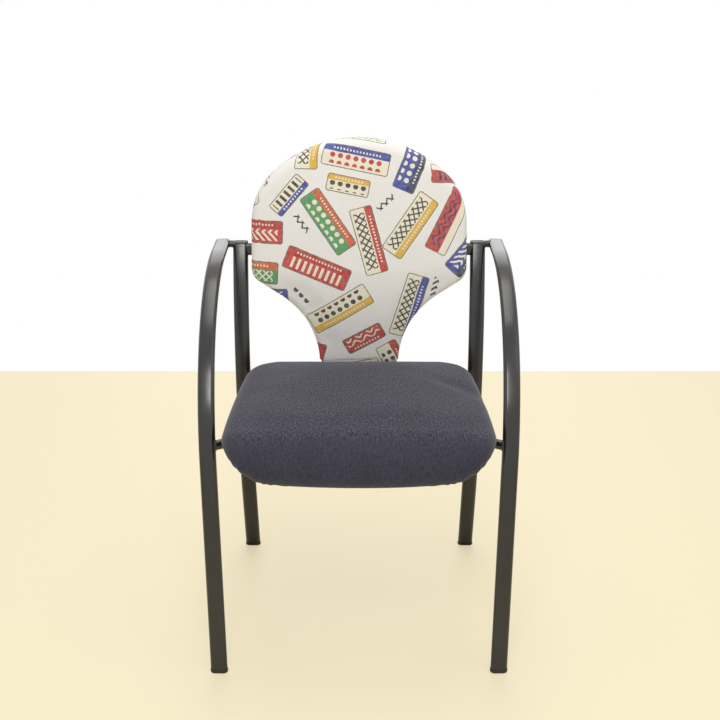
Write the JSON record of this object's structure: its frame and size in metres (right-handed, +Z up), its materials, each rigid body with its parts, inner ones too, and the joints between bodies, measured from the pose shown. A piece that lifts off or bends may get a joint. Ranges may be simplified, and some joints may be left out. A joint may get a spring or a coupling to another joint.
{
  "type": "visitor chair",
  "caption": "Stationary armchair for visitors: bent flat-oval steel side arches, padded waterfall seat and a round-headed padded back on a slim neck.",
  "frame": {"origin": "on the floor, under the middle of the chair's overall box", "axes": "+X to the right as the chair is seen from the front, -Y the way the sitter faces, +Z up; nodes named right are at +X"},
  "size_m": [0.5742, 0.5565, 0.8598],
  "materials": {
    "frame_steel": "black satin powder coat",
    "end_plastic": "fine-grained black polyamide",
    "glide_plastic": "black polyethylene",
    "back_shell": "textured black polypropylene",
    "seat_fabric": "woven charcoal-blue upholstery",
    "back_fabric": "cream woven upholstery with a printed pattern",
    "liner_cloth": "black spun-bonded dust liner",
    "foam": "moulded polyurethane foam",
    "plywood": "sanded birch plywood",
    "zinc": "zinc-plated steel"
  },
  "bodies": {
    "root": {"left_arm_leg": "frame_steel", "left_rear_leg": "frame_steel", "left_arm_spacer": "frame_steel", "left_arm_plug": "end_plastic", "left_rear_plug": "end_plastic", "left_front_glide": "glide_plastic", "left_rear_glide": "glide_plastic", "left_front_tab": "frame_steel", "left_rear_tab": "frame_steel", "right_arm_leg": "frame_steel", "right_rear_leg": "frame_steel", "right_arm_spacer": "frame_steel", "right_arm_plug": "end_plastic", "right_rear_plug": "end_plastic", "right_front_glide": "glide_plastic", "right_rear_glide": "glide_plastic", "right_front_tab": "frame_steel", "right_rear_tab": "frame_steel", "front_seat_tube": "frame_steel", "rear_seat_tube": "frame_steel", "back_bar": "frame_steel", "neck_bracket": "frame_steel", "seat_pan": "plywood", "seat_foam": "foam", "seat_cover": "seat_fabric", "seat_liner": "liner_cloth", "seat_bolts": "zinc", "seat_washers": "zinc", "seat_tee_nuts": "zinc", "back_board": "plywood", "back_foam": "foam", "back_cover": "back_fabric", "back_panel": "back_shell", "back_bolts": "zinc", "back_tee_nuts": "zinc", "neck_bolts": "zinc", "neck_tee_nuts": "zinc"}
  },
  "joints": []
}
